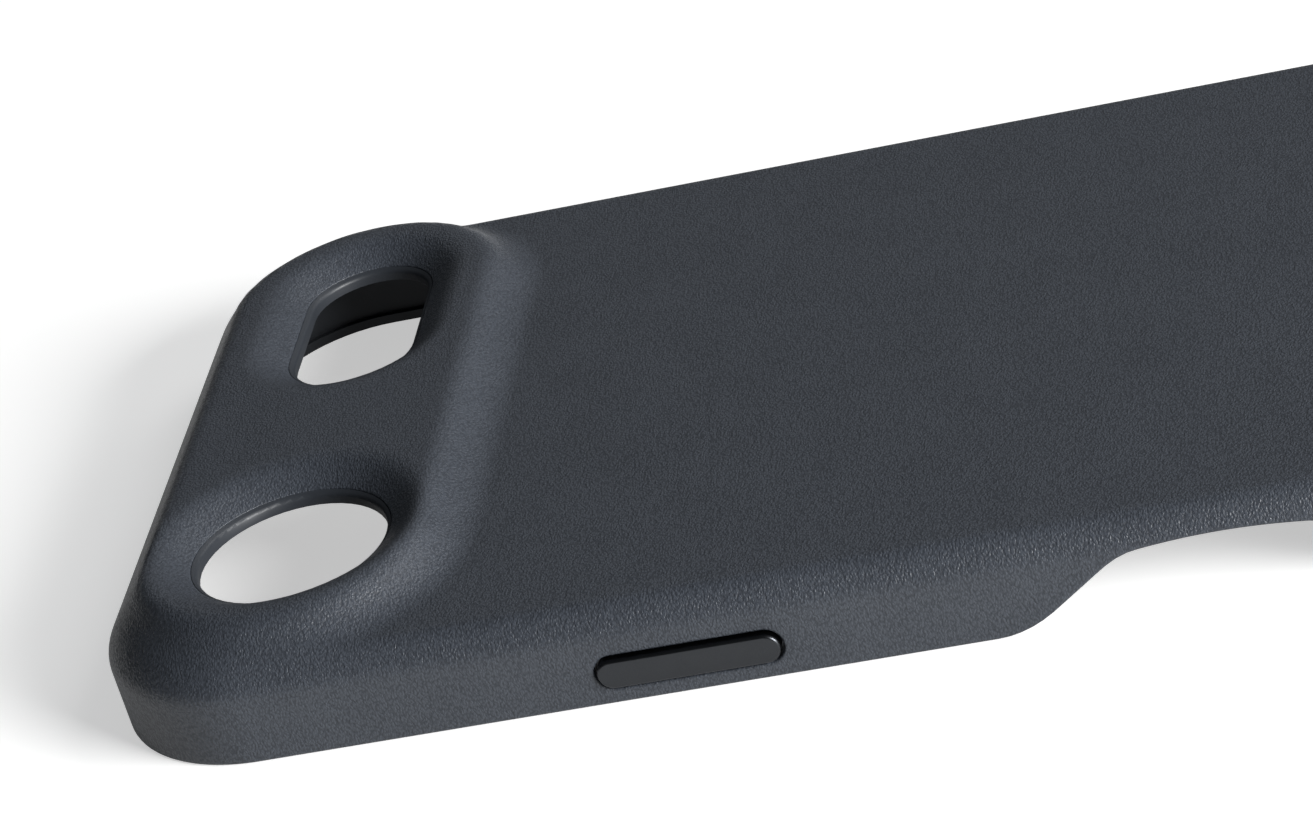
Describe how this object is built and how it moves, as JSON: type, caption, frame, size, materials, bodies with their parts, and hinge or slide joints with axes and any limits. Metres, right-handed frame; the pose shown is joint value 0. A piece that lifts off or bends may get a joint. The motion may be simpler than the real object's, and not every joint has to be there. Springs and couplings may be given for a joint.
{
  "type": "telephone case",
  "caption": "Slim leather-covered telephone case with a raised camera plateau, a round and a long opening, side controls and a scooped cut-away in one wall.",
  "frame": {"origin": "centre of the footprint, on the plane of the open rim", "axes": "+Z out of the back, +Y towards the camera end, -X towards the wall with the long control and the scoop"},
  "size_m": [0.0794, 0.16, 0.0115],
  "materials": {
    "leather": "fine pebbled grain, satin, dark blue-grey",
    "shell": "smooth satin moulding, near black",
    "lining": "soft napped lining",
    "control": "anodised, satin, dark grey"
  },
  "bodies": {
    "case": {"leather_skin": "leather", "inner_shell": "shell", "back_lining": "lining"},
    "side_button": {"side_button": "control"},
    "volume_up_button": {"volume_up_button": "control"},
    "volume_down_button": {"volume_down_button": "control"},
    "action_button": {"action_button": "control"}
  },
  "joints": [
    {"name": "side_press", "type": "slide", "parent": "case", "child": "side_button", "axis": [1, 0, 0], "range_m": [0, 0.00035], "stiffness_N_per_m": 4000},
    {"name": "volume_up_press", "type": "slide", "parent": "case", "child": "volume_up_button", "axis": [-1, 0, 0], "range_m": [0, 0.00035], "stiffness_N_per_m": 4000},
    {"name": "volume_down_press", "type": "slide", "parent": "case", "child": "volume_down_button", "axis": [-1, 0, 0], "range_m": [0, 0.00035], "stiffness_N_per_m": 4000},
    {"name": "action_press", "type": "slide", "parent": "case", "child": "action_button", "axis": [-1, 0, 0], "range_m": [0, 0.00035], "stiffness_N_per_m": 4000}
  ]
}
